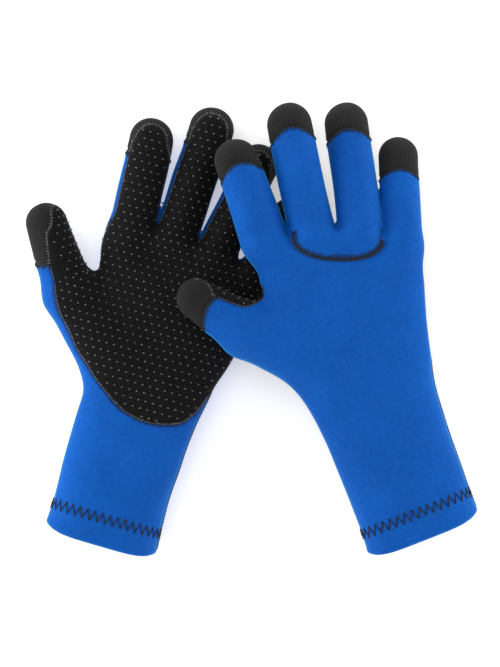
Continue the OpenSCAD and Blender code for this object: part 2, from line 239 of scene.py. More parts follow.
    def world(self, q):
        """Flat places laid over the middle sheet. What would go under the table is pressed flat on it."""
        z = self.middle_z(q[:, 0], q[:, 1]) + self.up * q[:, 2]
        return np.stack([q[:, 0], q[:, 1], (z + np.sqrt(z * z + 0.3)) / 2], -1)

    def slope(self, q, e=0.4):
        """Direction out of the flat skin: the depth's rise along x, y and w, made one long."""
        rise = [self.depth(*(q + e * d).T) - self.depth(*(q - e * d).T) for d in np.eye(3)]
        n = np.stack(rise, -1)
        return n / np.maximum(np.linalg.norm(n, axis=1, keepdims=True), 1e-9)

    # -------------------------------------------------------------- where the panels meet

    def past_mouth(self, q):
        """Positive inside the cuff's edge, which draws back at its sides by MOUTH_BACK times the 6th power
        of the place across."""
        u, v = self.hand_axes(q[:, 0], q[:, 1])
        across = np.clip((u - self.shift(v)) / self.half_w(v), -1, 1)
        return v + CUFF_L - MOUTH_BACK * across ** 6

    def palm(self, q):
        """Positive on the dotted palm panel. On the hand it is ahead of the panel's end line and under a
        strip of the back along each side, which the left glove narrows beside its thumb's web. On a finger it
        is under a plane that shows a strip of the back on the thumb's side, and it stops short of the tip by
        the cap's fold. The thumb is rolled towards the fingers."""
        x, y, w = q.T
        u, v = self.hand_axes(x, y)
        fall = (PALM_END(u + 1) - PALM_END(u - 1)) / 2
        end = (v - PALM_END(u)) / np.sqrt(1 + fall * fall)
        across = np.clip((u - self.shift(v)) / self.half_w(v), -1, 1)
        strip = 0.33 - 0.25 * across
        if self.up < 0:
            beside = step(44, 58, v) * step(0, 0.5, -across)
            strip = strip * (1 - 0.9 * beside * (1 - 0.6 * step(80, 96, v)))
        field = np.minimum(end, -w - HALF_T(v) * strip)
        share = self.shares(x, y)[1]
        total = 0 * x
        for name, s in zip(FINGERS, share):
            f = self.fingers[name]
            t, lat = self.finger_axes(f, x, y)
            r = self.radius(f, t)
            over = np.maximum(t - f["length"] + f["r1"], 0)
            tip = step(-14, 2, t - f["length"] + f["r1"])
            if name == "thumb":
                toward = step(2, 9, lat)
                web = WEB(t) * toward * (1 if self.up > 0 else LEFT_WEB)
                edge = 0.4 * r * step(8, 40, t) * (1 - toward)
                side = -w * np.cos(THUMB_ROLL) + lat * np.sin(THUMB_ROLL) - web - edge
                out = lat * np.cos(THUMB_ROLL) + w * np.sin(THUMB_ROLL)
                turn = s * step(-4, 8, t)
            else:
                side = -w - 0.33 * r + 0.25 * lat
                out = lat
                turn = s * step(-6, 4, t)
            inner = np.minimum(side, r + 3 - 6.6 * tip - np.hypot(out, over))
            total = total + turn * (inner - field)
        return field + total

    def cap(self, q):
        """Positive on a fingertip cap: past a seam that bows towards the tip over the back, and runs lower
        down the sides in step with 1 - (w / r)^2."""
        x, y, w = q.T
        plan = self.shares(x, y)[0]
        best = np.argmin(plan, 0)
        field = np.full(len(x), -50.0)
        for i, name in enumerate(FINGERS):
            f = self.fingers[name]
            t = self.finger_axes(f, x, y)[0]
            middle, sides = CAP_L[name]
            if name == "thumb" and self.up < 0:
                sides = 31.8
            h = np.clip(w / self.radius(f, t), -1, 1)
            low = np.where(h > 0, 1 - h * h, 1 - 0.35 * h)
            field = np.where(best == i, t - f["length"] + middle + (sides - middle) * low, field)
        return field

    def knuckle(self, q):
        """Positive on the knuckle panel: inside a U below the middle and ring fingers, (a^p + b^p)^(1/p) = 1
        across and down, under straight sides."""
        a, b = self.fingers["middle"]["root"], self.fingers["ring"]["root"]
        side = (b - a) / np.linalg.norm(b - a)
        at = q[:, :2] - (a + b) / 2
        out = np.abs(at @ side - U_AT) / U_HALF_W
        down = np.maximum(-5 - at @ np.array([-side[1], side[0]]), 0) / U_DEEP
        return np.minimum((1 - (out ** U_FULL + down ** U_FULL) ** (1 / U_FULL)) * 14, q[:, 2])

    def root(self, q):
        """Positive past a finger's root line, on the side where that finger is the nearest."""
        x, y = q[:, 0], q[:, 1]
        plan = self.shares(x, y)[0]
        field = []
        for i, name in enumerate(FINGERS):
            others = np.min(np.delete(plan, i, 0), 0)
            field.append(np.minimum(self.finger_axes(self.fingers[name], x, y)[0], (others - plan[i]) / 2))
        return np.array(field)


# ------------------------------------------------------------------ nets and cuts

def skin_net(glove):
    """The glove's whole skin as triangles: one point in each cell of a grid that the surface crosses, at the
    mean of the crossings on its edges, one square for each crossed edge, and each point then slid along the
    slope by its depth until it lies on the surface."""
    corners = [glove.from_hand(np.array([u]), np.array([v]), 0)[0]
               for u in (-34, 34) for v in (-CUFF_L - 5, 0)]
    tips = [f["root"] + f["ahead"] * f["length"] for f in glove.fingers.values()]
    spread = np.array(corners + tips)
    lo, hi = spread.min(0) - 16, spread.max(0) + 16
    x, y, w = np.arange(lo[0], hi[0], FINE), np.arange(lo[1], hi[1], FINE), np.arange(-25.3, 25.4, FINE)
    x, y, w = x.reshape(-1, 1, 1), y.reshape(1, -1, 1), w.reshape(1, 1, -1)
    grid = glove.depth(x, y, w)
    inside = grid < 0
    size = np.array(grid.shape) - 1
    where, count = np.zeros((*size, 3)), np.zeros(size)
    crossings = []
    for axis in range(3):
        a = np.take(grid, range(grid.shape[axis] - 1), axis)
        b = np.take(grid, range(1, grid.shape[axis]), axis)
        cross = (a < 0) != (b < 0)
        share = np.where(cross, a / np.where(cross, a - b, 1), 0)
        spot = np.stack(np.meshgrid(*[np.arange(n, dtype=float) for n in a.shape], indexing="ij"), -1)
        spot[..., axis] += share
        spot *= cross[..., None]
        others = [i for i in range(3) if i != axis]
        for da in (0, 1):
            for db in (0, 1):
                cut = [slice(None)] * 3
                cut[others[0]] = slice(da, da + size[others[0]])
                cut[others[1]] = slice(db, db + size[others[1]])
                where += spot[tuple(cut)]
                count += cross[tuple(cut)]
        crossings.append((axis, others, cross, a < 0))
    full = count > 0
    number = np.full(size, -1)
    number[full] = np.arange(full.sum())
    low = np.array([x.flat[0], y.flat[0], w.flat[0]])
    q = low + FINE * where[full] / count[full][:, None]
    squares = []
    for axis, others, cross, outward in crossings:
        at = np.argwhere(cross)
        ok = np.all([(at[:, o] > 0) & (at[:, o] < size[o]) for o in others], 0)
        at = at[ok]
        p, r = np.eye(3, dtype=int)[others]
        ring = [number[tuple((at - c).T)] for c in (p + r, r, 0 * p, p)]
        ring = np.stack(ring, -1)
        flip = outward[tuple(at.T)] != (axis != 1)
        ring[flip] = ring[flip][:, ::-1]
        squares.append(ring)
    squares = np.concatenate(squares)
    for _ in range(3):
        q -= glove.slope(q) * glove.depth(*q.T)[:, None] * 0.9
    tri = np.concatenate([squares[:, [0, 1, 2]], squares[:, [0, 2, 3]]])
    return q, tri


def insert(q, tri, field, keep_near=0.08):
    """Cuts the triangles along the line where the field is 0. A triangle that the line crosses becomes three,
    or two where the line passes through a corner."""
    f = field.copy()
    f[np.abs(f) < keep_near] = 0
    s = np.sign(f).astype(int)
    t = s[tri]
    crossed = (t.min(1) < 0) & (t.max(1) > 0)
    rest, hit, hs = tri[~crossed], tri[crossed], t[crossed]
    if not len(hit):
        return q, tri
    zeros = (hs == 0).any(1)
    parts = [rest]
    new_q = [q]
    base = len(q)

    def middle(a, b):
        nonlocal base
        key = np.sort(np.stack([a, b], -1), 1)
        only, back = np.unique(key, axis=0, return_inverse=True)
        share = f[only[:, 0]] / (f[only[:, 0]] - f[only[:, 1]])
        new_q.append(q[only[:, 0]] + (q[only[:, 1]] - q[only[:, 0]]) * share[:, None])
        base += len(only)
        return base - len(only) + back.reshape(-1)

    # the corner alone on its side comes first, or the corner that lies on the line
    lone = np.where(zeros, np.argmax(hs == 0, 1), np.argmax(hs == -np.sign(hs.sum(1))[:, None], 1))
    rows = np.arange(len(hit))
    a, b, c = hit[rows, lone], hit[rows, (lone + 1) % 3], hit[rows, (lone + 2) % 3]
    z, n = zeros, ~zeros
    first = np.concatenate([a[n], a[n], b[z]])
    second = np.concatenate([b[n], c[n], c[z]])
    m = middle(first, second)
    k = n.sum()
    ab, ac, bc = m[:k], m[k:2 * k], m[2 * k:]
    a3, b3, c3 = a[n], b[n], c[n]
    parts += [np.stack(p, -1) for p in ((a3, ab, ac), (ab, b3, c3), (ab, c3, ac))]
    parts += [np.stack(p, -1) for p in ((a[z], b[z], bc), (a[z], bc, c[z]))]
    return np.concatenate(new_q), np.concatenate(parts)


def point_normals(v, tri):
    """Each point's normal: the sum of its triangles' cross products, made one long."""
    n = np.cross(v[tri[:, 1]] - v[tri[:, 0]], v[tri[:, 2]] - v[tri[:, 0]])
    out = np.zeros_like(v)
    for k in range(3):
        for axis in range(3):
            out[:, axis] += np.bincount(tri[:, k], n[:, axis], len(v))
    return out / np.maximum(np.linalg.norm(out, axis=1, keepdims=True), 1e-12)


def meeting_lines(tri, label, a, b):
    """Runs of points along the edges where a face of the labels in a meets one of the labels in b, each
    with the faces on a's side."""
    edges = np.concatenate([tri[:, [0, 1]], tri[:, [1, 2]], tri[:, [2, 0]]])
    face = np.tile(np.arange(len(tri)), 3)
    key = np.sort(edges, 1)
    order = np.lexsort((key[:, 1], key[:, 0]))
    key, face = key[order], face[order]
    same = np.all(key[1:] == key[:-1], 1)
    one, two, pair = face[:-1][same], face[1:][same], key[:-1][same]
    in_a, in_b = np.isin(label, a), np.isin(label, b)
    forward, backward = in_a[one] & in_b[two], in_a[two] & in_b[one]
    pick = forward | backward
    a_face = np.where(forward, one, two)[pick]
    links = {}
    for (p, r), k in zip(pair[pick].tolist(), a_face.tolist()):
        links.setdefault(p, []).append((r, k))
        links.setdefault(r, []).append((p, k))
    used, runs = set(), []
    for start in sorted(links, key=lambda p: (len(links[p]) == 2, p)):
        if start in used:
            continue
        run, faces, at = [start], [], start
        used.add(start)
        while True:
            onward = [(r, k) for r, k in links[at] if r not in used]
            if not onward:
                break
            at, k = onward[0]
            used.add(at)
            run.append(at)
            faces.append(k)
        if len(run) > 7:
            closing = [k for r, k in links[at] if r == start]
            if closing:
                run.append(start)
                faces.append(closing[0])
            runs.append((np.array(run), np.array(faces)))
    return runs


def even_steps(points, pitch, *along):
    """A run of points walked at an even pitch, with anything else that goes along it."""
    length = np.concatenate([[0], np.cumsum(np.linalg.norm(np.diff(points, axis=0), axis=1))])
    n = max(int(length[-1] / pitch), 2)
    s = (np.arange(n) + 0.5) * length[-1] / n
    walk = lambda a: np.stack([np.interp(s, length, a[:, i]) for i in range(a.shape[1])], -1)
    return [walk(points)] + [walk(a) for a in along]


def unit(a):
    """Vectors made one long."""
    return a / np.maximum(np.linalg.norm(a, axis=-1, keepdims=True), 1e-9)


# ------------------------------------------------------------------ meshes

def make(name, v, faces, material, slot, normals=None, uv=None, seam=None):
    """A mesh object in metres from points in millimetres."""
    mesh = bpy.data.meshes.new(name)
    mesh.from_pydata((v * 0.001).tolist(), [], [f for part in faces for f in part.tolist()])
    mesh.materials.append(material)
    mesh.polygons.foreach_set("use_smooth", [True] * len(mesh.polygons))
    if uv is not None:
        corner = np.zeros(len(mesh.loops), int)
        mesh.loops.foreach_get("vertex_index", corner)
        mesh.uv_layers.new(name="weave").data.foreach_set("uv", uv[corner].astype(np.float32).ravel())
    if seam is not None:
        mesh.attributes.new("seam", "FLOAT", "POINT").data.foreach_set("value", seam.astype(np.float32))
    if normals is not None:
        mesh.normals_split_custom_set_from_vertices(normals.tolist())
    mesh.update()
    piece = bpy.data.objects.new(name, mesh)
    bpy.context.scene.collection.objects.link(piece)
    return piece


def tubes(paths, normals, radius, sides=5):
    """Threads along many short paths at once: at each point a ring of the given radius, cos across the
    path's side and sin along the skin's normal, with a point at each end."""
    n, k = paths.shape[:2]
    along = unit(np.gradient(paths, axis=1))
    side = unit(np.cross(along, normals))
    up = np.cross(side, along)
    turn = np.arange(sides) * 2 * np.pi / sides
    r = np.asarray(radius, float).reshape(1, -1, 1, 1)
    ring = paths[:, :, None] + r * (side[:, :, None] * np.cos(turn)[:, None]
                                    + up[:, :, None] * np.sin(turn)[:, None])
    v = np.concatenate([ring.reshape(n, k * sides, 3), paths[:, :1], paths[:, -1:]], 1)
    i, j = np.meshgrid(np.arange(k - 1), np.arange(sides), indexing="ij")
    a, b = i * sides + j, i * sides + (j + 1) % sides
    wall = np.stack([a, a + sides, b + sides, b], -1).reshape(-1, 4)
    j = np.arange(sides)
    foot = np.stack([np.full(sides, k * sides), j, (j + 1) % sides], -1)
    last = (k - 1) * sides
    head = np.stack([np.full(sides, k * sides + 1), last + (j + 1) % sides, last + j], -1)
    shift = (np.arange(n) * v.shape[1])[:, None, None]
    faces = (wall, np.concatenate([foot, head]))
    return v.reshape(-1, 3), [(f[None] + shift).reshape(-1, f.shape[1]) for f in faces]


def joined(parts):
    """Several (points, faces) as one."""
    v, squares, tris, base = [], [], [], 0
    for p, (a, b) in parts:
        v.append(p)
        squares.append(a + base)
        tris.append(b + base)
        base += len(p)
    return np.concatenate(v), [np.concatenate(squares), np.concatenate(tris)]


# ------------------------------------------------------------------ finishes

class Val:
    """A number that changes over a surface. Sums on it add Math nodes."""

    def __init__(self, finish, socket):
        self.finish, self.socket = finish, socket

    def _sum(self, kind, a, b=0.0):
        return self.finish.node("ShaderNodeMath", {"operation": kind}, {0: a, 1: b})

    def __add__(self, o): return self._sum("ADD", self, o)
    def __radd__(self, o): return self._sum("ADD", o, self)
    def __rsub__(self, o): return self._sum("SUBTRACT", o, self)
    def __mul__(self, o): return self._sum("MULTIPLY", self, o)
    def __rmul__(self, o): return self._sum("MULTIPLY", o, self)
    def __pow__(self, o): return self._sum("POWER", self, o)
    def sin(self): return self._sum("SINE", self)
    def size(self): return self._sum("ABSOLUTE", self)


class Finish:
    """A material with one Principled shader. Uniform numbers are set on its own sockets."""

    def __init__(self, name, **sockets):
        self.material = bpy.data.materials.new(name)
        self.material.use_nodes = True
        self.tree = self.material.node_tree
        self.tree.nodes.clear()
        self.out = self.tree.nodes.new("ShaderNodeOutputMaterial")
        self.shader = self.tree.nodes.new("ShaderNodeBsdfPrincipled")
        self.tree.links.new(self.shader.outputs[0], self.out.inputs["Surface"])
        for key, value in sockets.items():
            self.shader.inputs[key.replace("_", " ")].default_value = value

    def node(self, kind, settings=(), inputs=(), out=0):
        """Any node: its settings first, with a ramp's stops among them, then its sockets' values or links."""
        node = self.tree.nodes.new(kind)
        for key, value in dict(settings).items():
            if key == "stops":
                ramp = node.color_ramp
                while len(ramp.elements) < len(value):
                    ramp.elements.new(0.5)
                for element, (place, colour) in zip(ramp.elements, value):
                    element.position, element.color = place, colour
            else:
                setattr(node, key, value)
        for key, value in dict(inputs).items():
            if isinstance(value, Val):
                self.tree.links.new(value.socket, node.inputs[key])
            else:
                node.inputs[key].default_value = value
        return Val(self, node.outputs[out])

    def feed(self, socket, value):
        self.tree.links.new(value.socket, self.shader.inputs[socket])

    def place(self):
        return self.node("ShaderNodeTexCoord", out="Object")

    def weave(self):
        """The piece's own cloth directions, in millimetres, across and along."""
        uv = self.node("ShaderNodeUVMap", {"uv_map": "weave"})
        split = self.node("ShaderNodeSeparateXYZ", (), {0: uv}).socket.node
        return Val(self, split.outputs[0]), Val(self, split.outputs[1])

    def noise(self, scale, detail=2.0, rough=0.5):
        return self.node("ShaderNodeTexNoise", (), {"Vector": self.place(), "Scale": scale,
                                                    "Detail": detail, "Roughness": rough})

    def mix(self, share, a, b):
        """Colour a at 0 and colour b at 1."""
        node = self.tree.nodes.new("ShaderNodeMix")
        node.data_type = "RGBA"
        for key, value in ((0, share), (6, a), (7, b)):
            if isinstance(value, Val):
                self.tree.links.new(value.socket, node.inputs[key])
            else:
                node.inputs[key].default_value = value
        return Val(self, node.outputs[2])

    def bump(self, height, strength, distance):
        self.feed("Normal", self.node("ShaderNodeBump", (), {"Strength": strength, "Distance": distance,
                                                             "Height": height}))


def blue_jersey():
    """Brushed nylon jersey on neoprene: fine stitch columns of about 0.9 mm broken up by noise, a faint
    mottle over centimetres, and painted shade beside each seam, a darker colour where the fold sinks."""
    f = Finish("blue_jersey_neoprene", Roughness=0.72, Sheen_Weight=0.75, Sheen_Roughness=0.32,
               Sheen_Tint=(0.05, 0.5, 1.0, 1), Specular_IOR_Level=0.08)
    fine, mottle, grain = f.noise(1500, 3, 0.65), f.noise(45, 3), f.noise(420, 2, 0.6)
    near = f.node("ShaderNodeAttribute", {"attribute_name": "seam"}, out="Fac")
    # Painted shade: within 2.6 mm of a seam the colour darkens towards 0.62 of the middle blue.
    seam_shade = f.node("ShaderNodeMapRange", {"interpolation_type": "SMOOTHSTEP"},
                  {0: near, 1: 0.0, 2: 2.6, 3: 0.0, 4: 1.0})
    base = f.mix(mottle * 0.45 + grain * 0.55, BLUE_DARK, BLUE_LIGHT)
    base = f.mix(fine * 0.6, base, BLUE_MID)
    f.feed("Base Color", f.mix(seam_shade, (*[c * 0.62 for c in BLUE_MID[:3]], 1), base))
    f.feed("Roughness", 0.62 + 0.2 * fine)
    f.bump(fine * 0.6 + grain, 0.35, 0.00045)
    return f.material


def knit():
    """Ribbed knit: ribs of 1.2 mm run along the finger, each crossed by small stitches every 1 mm that
    are half a stitch out on the next rib, with a little fluff."""
    f = Finish("ribbed_knit", Roughness=0.85, Sheen_Weight=0.03, Sheen_Roughness=0.5, Specular_IOR_Level=0.1)
    across, along = f.weave()
    rib = (across * (np.pi / 1.2)).sin().size()
    cross = (along * np.pi + across * (np.pi / 1.2 / 2)).sin().size()
    fluff = f.noise(1800, 2)
    height = rib ** 0.6 * 0.65 + cross * 0.35
    # Painted shade and highlight: near black in the grooves between ribs and stitches, lighter on their
    # crests, in step with the bump's height.
    f.feed("Base Color", f.mix(height ** 4.0 * 0.85 + fluff * 0.15, DEEP_BLACK, (0.04, 0.0402, 0.039, 1)))
    f.feed("Roughness", 0.92 - 0.15 * height)
    f.bump(height + fluff * 0.25, 0.8, 0.0005)
    return f.material


def grip_cloth():
    """Black palm cloth: a close grain of 0.5 mm with a faint sheen, under the dots."""
    f = Finish("black_grip_cloth", Roughness=0.78, Sheen_Weight=0.02, Sheen_Roughness=0.5,
               Specular_IOR_Level=0.1)
    grain, wide = f.noise(1300, 3, 0.7), f.noise(60, 2)
    f.feed("Base Color", f.mix(grain ** 4.0 * 3.5 + wide * 0.1, DEEP_BLACK, (0.016, 0.016, 0.0164, 1)))
    f.feed("Roughness", 0.7 + 0.22 * grain)
    f.bump(grain, 0.5, 0.0004)
    return f.material


def silicone():
    """Clear grey silicone printed on the palm: glossy, with small changes in its gloss."""
    f = Finish("silicone_grip", Roughness=0.3, Specular_IOR_Level=0.7, Coat_Weight=0.5, Coat_Roughness=0.12)
    tone = f.noise(400, 1)
    f.feed("Base Color", f.mix(tone, (0.008, 0.008, 0.008, 1), (0.05, 0.05, 0.05, 1)))
    f.feed("Roughness", 0.15 + 0.2 * tone)
    return f.material


def thread(name, light):
    """Twisted dark polyester thread: plies every 0.5 mm on the slant, with a slight shine. Its light flecks,
    where the ply bands meet spots of noise, are painted glints.
    """
    f = Finish(name, Roughness=0.55, Specular_IOR_Level=0.4)
    ply = f.node("ShaderNodeTexWave", {"wave_type": "BANDS", "bands_direction": "DIAGONAL"},
                 {"Vector": f.place(), "Scale": 900.0, "Distortion": 1.5, "Detail": 1.0})
    glint_spots = f.noise(500, 2, 0.7)
    # Painted glints: light flecks where the ply bands meet the glint spots.
    f.feed("Base Color", f.mix(ply * glint_spots ** 3.0 * 4.5, (0.001, 0.001, 0.001, 1), (light, light, light, 1)))
    f.bump(ply, 0.4, 0.0002)
    return f.material


def lining():
    """Brushed black jersey inside the cuff."""
    f = Finish("brushed_lining", Roughness=0.9, Sheen_Weight=0.3, Sheen_Roughness=0.5)
    pile = f.noise(1100, 3, 0.7)
    f.feed("Base Color", f.mix(pile, (0.006, 0.006, 0.007, 1), (0.03, 0.03, 0.033, 1)))
    f.bump(pile, 0.6, 0.0005)
    return f.material


BLUE_DARK, BLUE_MID, BLUE_LIGHT = (0.001, 0.028, 0.17, 1), (0.002, 0.072, 0.36, 1), (0.004, 0.135, 0.58, 1)
DEEP_BLACK = (0.0001, 0.0001, 0.0001, 1)
JERSEY, KNIT, GRIP, DOT = blue_jersey(), knit(), grip_cloth(), silicone()
THREAD, LINING = thread("polyester_thread", 0.01), lining()
# Dark thread whose light flecks, up to 0.2, are painted glints.
GLINT_THREAD = thread("thread_with_painted_glints", 0.2)
PANELS = dict(back_panel=(JERSEY, "blue_neoprene"), knuckle_panel=(JERSEY, "blue_neoprene"),
              palm_panel=(GRIP, "grip_palm"), back=(JERSEY, "blue_neoprene"), palm=(GRIP, "grip_palm"),
              cap=(KNIT, "knit_cap"))


# ------------------------------------------------------------------ a glove's pieces

def go_with(piece, glove, name):
    """Rides the hand. A finger's piece only has its transform baked into its points."""
    if name == "hand":
        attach(piece, glove.side + "_hand")
        return
    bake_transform(piece)


def owner(glove, q):
    """Which of hand and fingers each flat place belongs to: 0 for the hand, 1 to 5 for the fingers."""
    root = glove.root(q)
    return np.where(root.max(0) > 0, 1 + root.argmax(0), 0)


def cut_skin(glove):
    """The skin cut along every seam, with a label for each triangle: 10 times its owner plus 0 for the back,
    1 for the palm, 2 for a cap and 3 for the knuckle panel."""
    q, tri = skin_net(glove)
    q, tri = insert(q, tri, glove.past_mouth(q))
    tri = tri[glove.past_mouth(q[tri].mean(1)) > 0]
    q, tri = insert(q, tri, glove.root(q).max(0))
    for a in range(1, 4):
        gap = glove.shares(q[:, 0], q[:, 1])[0]
        line = gap[a] - gap[a + 1]
        far = glove.root(q).max(0) < -2
        q, tri = insert(q, tri, np.where(far, 30.0, line))
    q, tri = insert(q, tri, glove.palm(q))
    q, tri = insert(q, tri, glove.cap(q))
    q, tri = insert(q, tri, glove.knuckle(q))
    used, back = np.unique(tri, return_inverse=True)
    q, tri = q[used], back.reshape(tri.shape)
    middle = q[tri].mean(1)
    own = owner(glove, middle)
    kind = np.where(glove.palm(middle) > 0, 1,
                    np.where((glove.cap(middle) > 0) & (own > 0), 2,
                             np.where((glove.knuckle(middle) > 0) & (own == 0), 3, 0)))
    return q, tri, own * 10 + kind


def seam_distance(glove, q):
    """Distance to the nearest seam: the least size of the palm, cap and knuckle fields, the last two only
    on the back's side."""
    palm, cap, knuckle = glove.palm(q), glove.cap(q), glove.knuckle(q)
    hidden = 20 * step(-0.5, 2, palm)
    own = owner(glove, q)
    cap = np.where(own > 0, np.abs(cap), 9)
    knuckle = np.where(own > 0, 9, np.abs(knuckle))
    return np.minimum(np.abs(palm), np.minimum(cap, knuckle) + hidden)


def ripple(q):
    """Slow unevenness of puffed cloth: a few sines of different lengths added."""
    x, y, w = q.T
    return (0.28 * np.sin(x / 9.1 + 0.7 * np.sin(y / 17)) * np.sin(y / 12.3 + 1.3)
            + 0.16 * np.sin(x / 5.3 + y / 8.7 + w / 6))


def build_glove(side):
    """One glove: a cloth piece for each label with its inside and its rim, then seams, cuff and dots. The
    skin sinks by FOLD at a seam, and swells a little 3 away from it."""
    glove = Glove(side, **SHAPES[side])
    q, tri, label = cut_skin(glove)
    away = seam_distance(glove, q)
    n = glove.slope(q)
    swell = 0.15 * np.exp(-((away - 3) / 1.6) ** 2)
    q_out = q + n * (ripple(q) - FOLD * np.exp(-(away / FOLD_W) ** 2) + swell)[:, None]
    if glove.up < 0:
        tri = tri[:, ::-1]
    v = glove.world(q_out)
    v_in = glove.world(q - n * SHEET)
    normals = point_normals(v, tri)
    names = {0: "back_panel", 1: "palm_panel", 3: "knuckle_panel"}
    finger_names = {0: "back", 1: "palm", 2: "cap", 3: "back"}
    for code in np.unique(label):
        own, kind = divmod(int(code), 10)
        who = "hand" if own == 0 else FINGERS[own - 1]
        node = f"{side}_{names[kind]}" if own == 0 else f"{side}_{who}_{finger_names[kind]}"
        faces = tri[label == code]
        used, local = np.unique(faces, return_inverse=True)
        local = local.reshape(faces.shape)
        m = len(used)
        edges = np.concatenate([local[:, [0, 1]], local[:, [1, 2]], local[:, [2, 0]]])
        code_of = edges[:, 0] * m + edges[:, 1]
        rim = edges[~np.isin(code_of, edges[:, 1] * m + edges[:, 0])]
        rim = np.stack([rim[:, 1], rim[:, 0], rim[:, 0] + m, rim[:, 1] + m], -1)
        points = np.concatenate([v[used], v_in[used]])
        turned = np.concatenate([normals[used], -normals[used]])
        uv = None
        if kind == 2:
            f = glove.fingers[who]
            t, lat = glove.finger_axes(f, *q[used][:, :2].T)
            r = glove.radius(f, t)
            across = r * np.arcsin(np.clip(lat / r, -1, 1))
            if who == "thumb":
                across = r * np.arctan2(lat, q[used][:, 2])
            uv = np.tile(np.stack([across, t], -1), (2, 1))
        material, slot = PANELS[names[kind] if own == 0 else finger_names[kind]]
        piece = make(node + "_cloth", points, [local, local[:, ::-1] + m, rim], material, slot,
                     turned, uv, np.tile(away[used], 2))
        go_with(piece, glove, who)
        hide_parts(node)
    add_seams(glove, tri, label, v, normals)
    add_cuff(glove)
    add_dots(glove)


def stitch_runs(tri, label, v, normals, a, b, pitch):
    """Even places along each seam between labels a and b, with the skin's normal, the way along the seam
    and the way from the seam into a."""
    out = []
    middle = v[tri].mean(1)
    for run, faces in meeting_lines(tri, label, a, b):
        points = v[run]
        into = middle[faces] - (points[:-1] + points[1:]) / 2
        into = np.concatenate([into[:1], (into[1:] + into[:-1]) / 2, into[-1:]])
        place, up, into = even_steps(points, pitch, normals[run], unit(into))
        along, up = unit(np.gradient(place, axis=0)), unit(up)
        cross = unit(np.cross(up, along))
        cross *= np.sign(np.sum(cross * into, -1, keepdims=True))
        out.append((place, up, along, cross))
    return out


def bars(place, up, along, cross, ahead, behind, radius, slant=0.0, height=0.35):
    """One short thread across the seam at each place: from `behind` on one side to `ahead` on the other,
    arched up in the middle, and sunk into the cloth at both ends."""
    share = np.array([0, 0.2, 0.65, 1.0])
    lift = np.array([-0.25, height, height, -0.15])
    reach = -behind + (ahead + behind) * share
    lift = lift + FOLD * (1 - np.exp(-(reach / FOLD_W) ** 2))
    reach = reach[None, :, None]
    lean = (slant * (share - 0.5))[None, :, None]
    path = place[:, None] + cross[:, None] * reach + along[:, None] * lean + up[:, None] * lift[None, :, None]
    return tubes(path, up[:, None] + 0 * path, radius * np.array([0.8, 1.0, 1.0, 0.7]))


def line(place, up, radius, lift):
    """One thread along the seam."""
    path = (place + up * lift)[None]
    return tubes(path, up[None], np.full(len(place), radius), 6)


def sew(glove, who, name, parts, material, node=None):
    """A piece of thread on the hand or on a finger, and the node that it stands for."""
    piece = make(f"{glove.side}_{name}", *joined(parts), material, "seam_thread")
    go_with(piece, glove, who)
    if node:
        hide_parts(f"{glove.side}_{node}")


def add_seams(glove, tri, label, v, normals):
    """The stitching of a glove, each seam in its own kind of stitch and split between the hand and the
    fingers that it runs on. Black thread and thread with painted glints are pieces of their own."""
    runs = lambda a, b, pitch: stitch_runs(tri, label, v, normals, a, b, pitch)
    for i, who in enumerate(FINGERS, 1):
        base = 10 * i
        # The grey pieces are dark thread with painted glints.
        parts, grey = [], []
        for run in runs([base, base + 3], [base + 2], 1.9):
            parts += [bars(*run, 2.5, 0.5, 0.42), line(run[0], run[1], CORD_R, 0.15)]
        for run in runs([base + 2], [base + 1], 1.8):
            grey += [bars(*run, 1.6, 1.2, 0.27), line(run[0], run[1], CORD_R, 0.1)]
        for run in runs([base, base + 3], [base + 1], 2.1):
            parts += [bars(*run, 1.4, 1.3, 0.28)]
            grey += [line(run[0], run[1], 0.36, 0.25)]
        sew(glove, who, who + "_stitching", parts, THREAD, who + "_stitch")
        sew(glove, who, who + "_overlock", grey, GLINT_THREAD)
    parts = []
    for run in runs([3], [0], 1.7):
        parts += [bars(*run, 3.2, 0.9, 0.4, 0.5), line(run[0], run[1], 0.55, 0.2)]
    sew(glove, "hand", "knuckle_whip_stitch", parts, THREAD, "knuckle_stitch")
    # The grey pieces are dark thread with painted glints.
    parts, grey = [], []
    for run in runs([0], [1], 2.0):
        parts += [bars(*run, 2.3, 1.6, 0.34, 0.7)]
        grey += [line(run[0], run[1], 0.5, 0.3)]
    sew(glove, "hand", "palm_overlock", parts, THREAD, "palm_stitch")
    sew(glove, "hand", "palm_cord", grey, GLINT_THREAD)
    ahead = np.arange(-CUFF_L + MOUTH_BACK + 0.5, 15.5, 0.5)
    path, up = cuff_points(glove, ahead, np.full(len(ahead), -0.04), slid=True)
    place, up = even_steps(path, 2.2, up)
    along, up = unit(np.gradient(place, axis=0)), unit(up)
    cross = unit(np.cross(up, along))
    parts = [bars(place, up, along, cross, 1.0, 1.0, 0.24, 0.6), line(place, up, 0.5, 0.05)]
    sew(glove, "hand", "side_seam_thread", parts, THREAD, "side_seam")


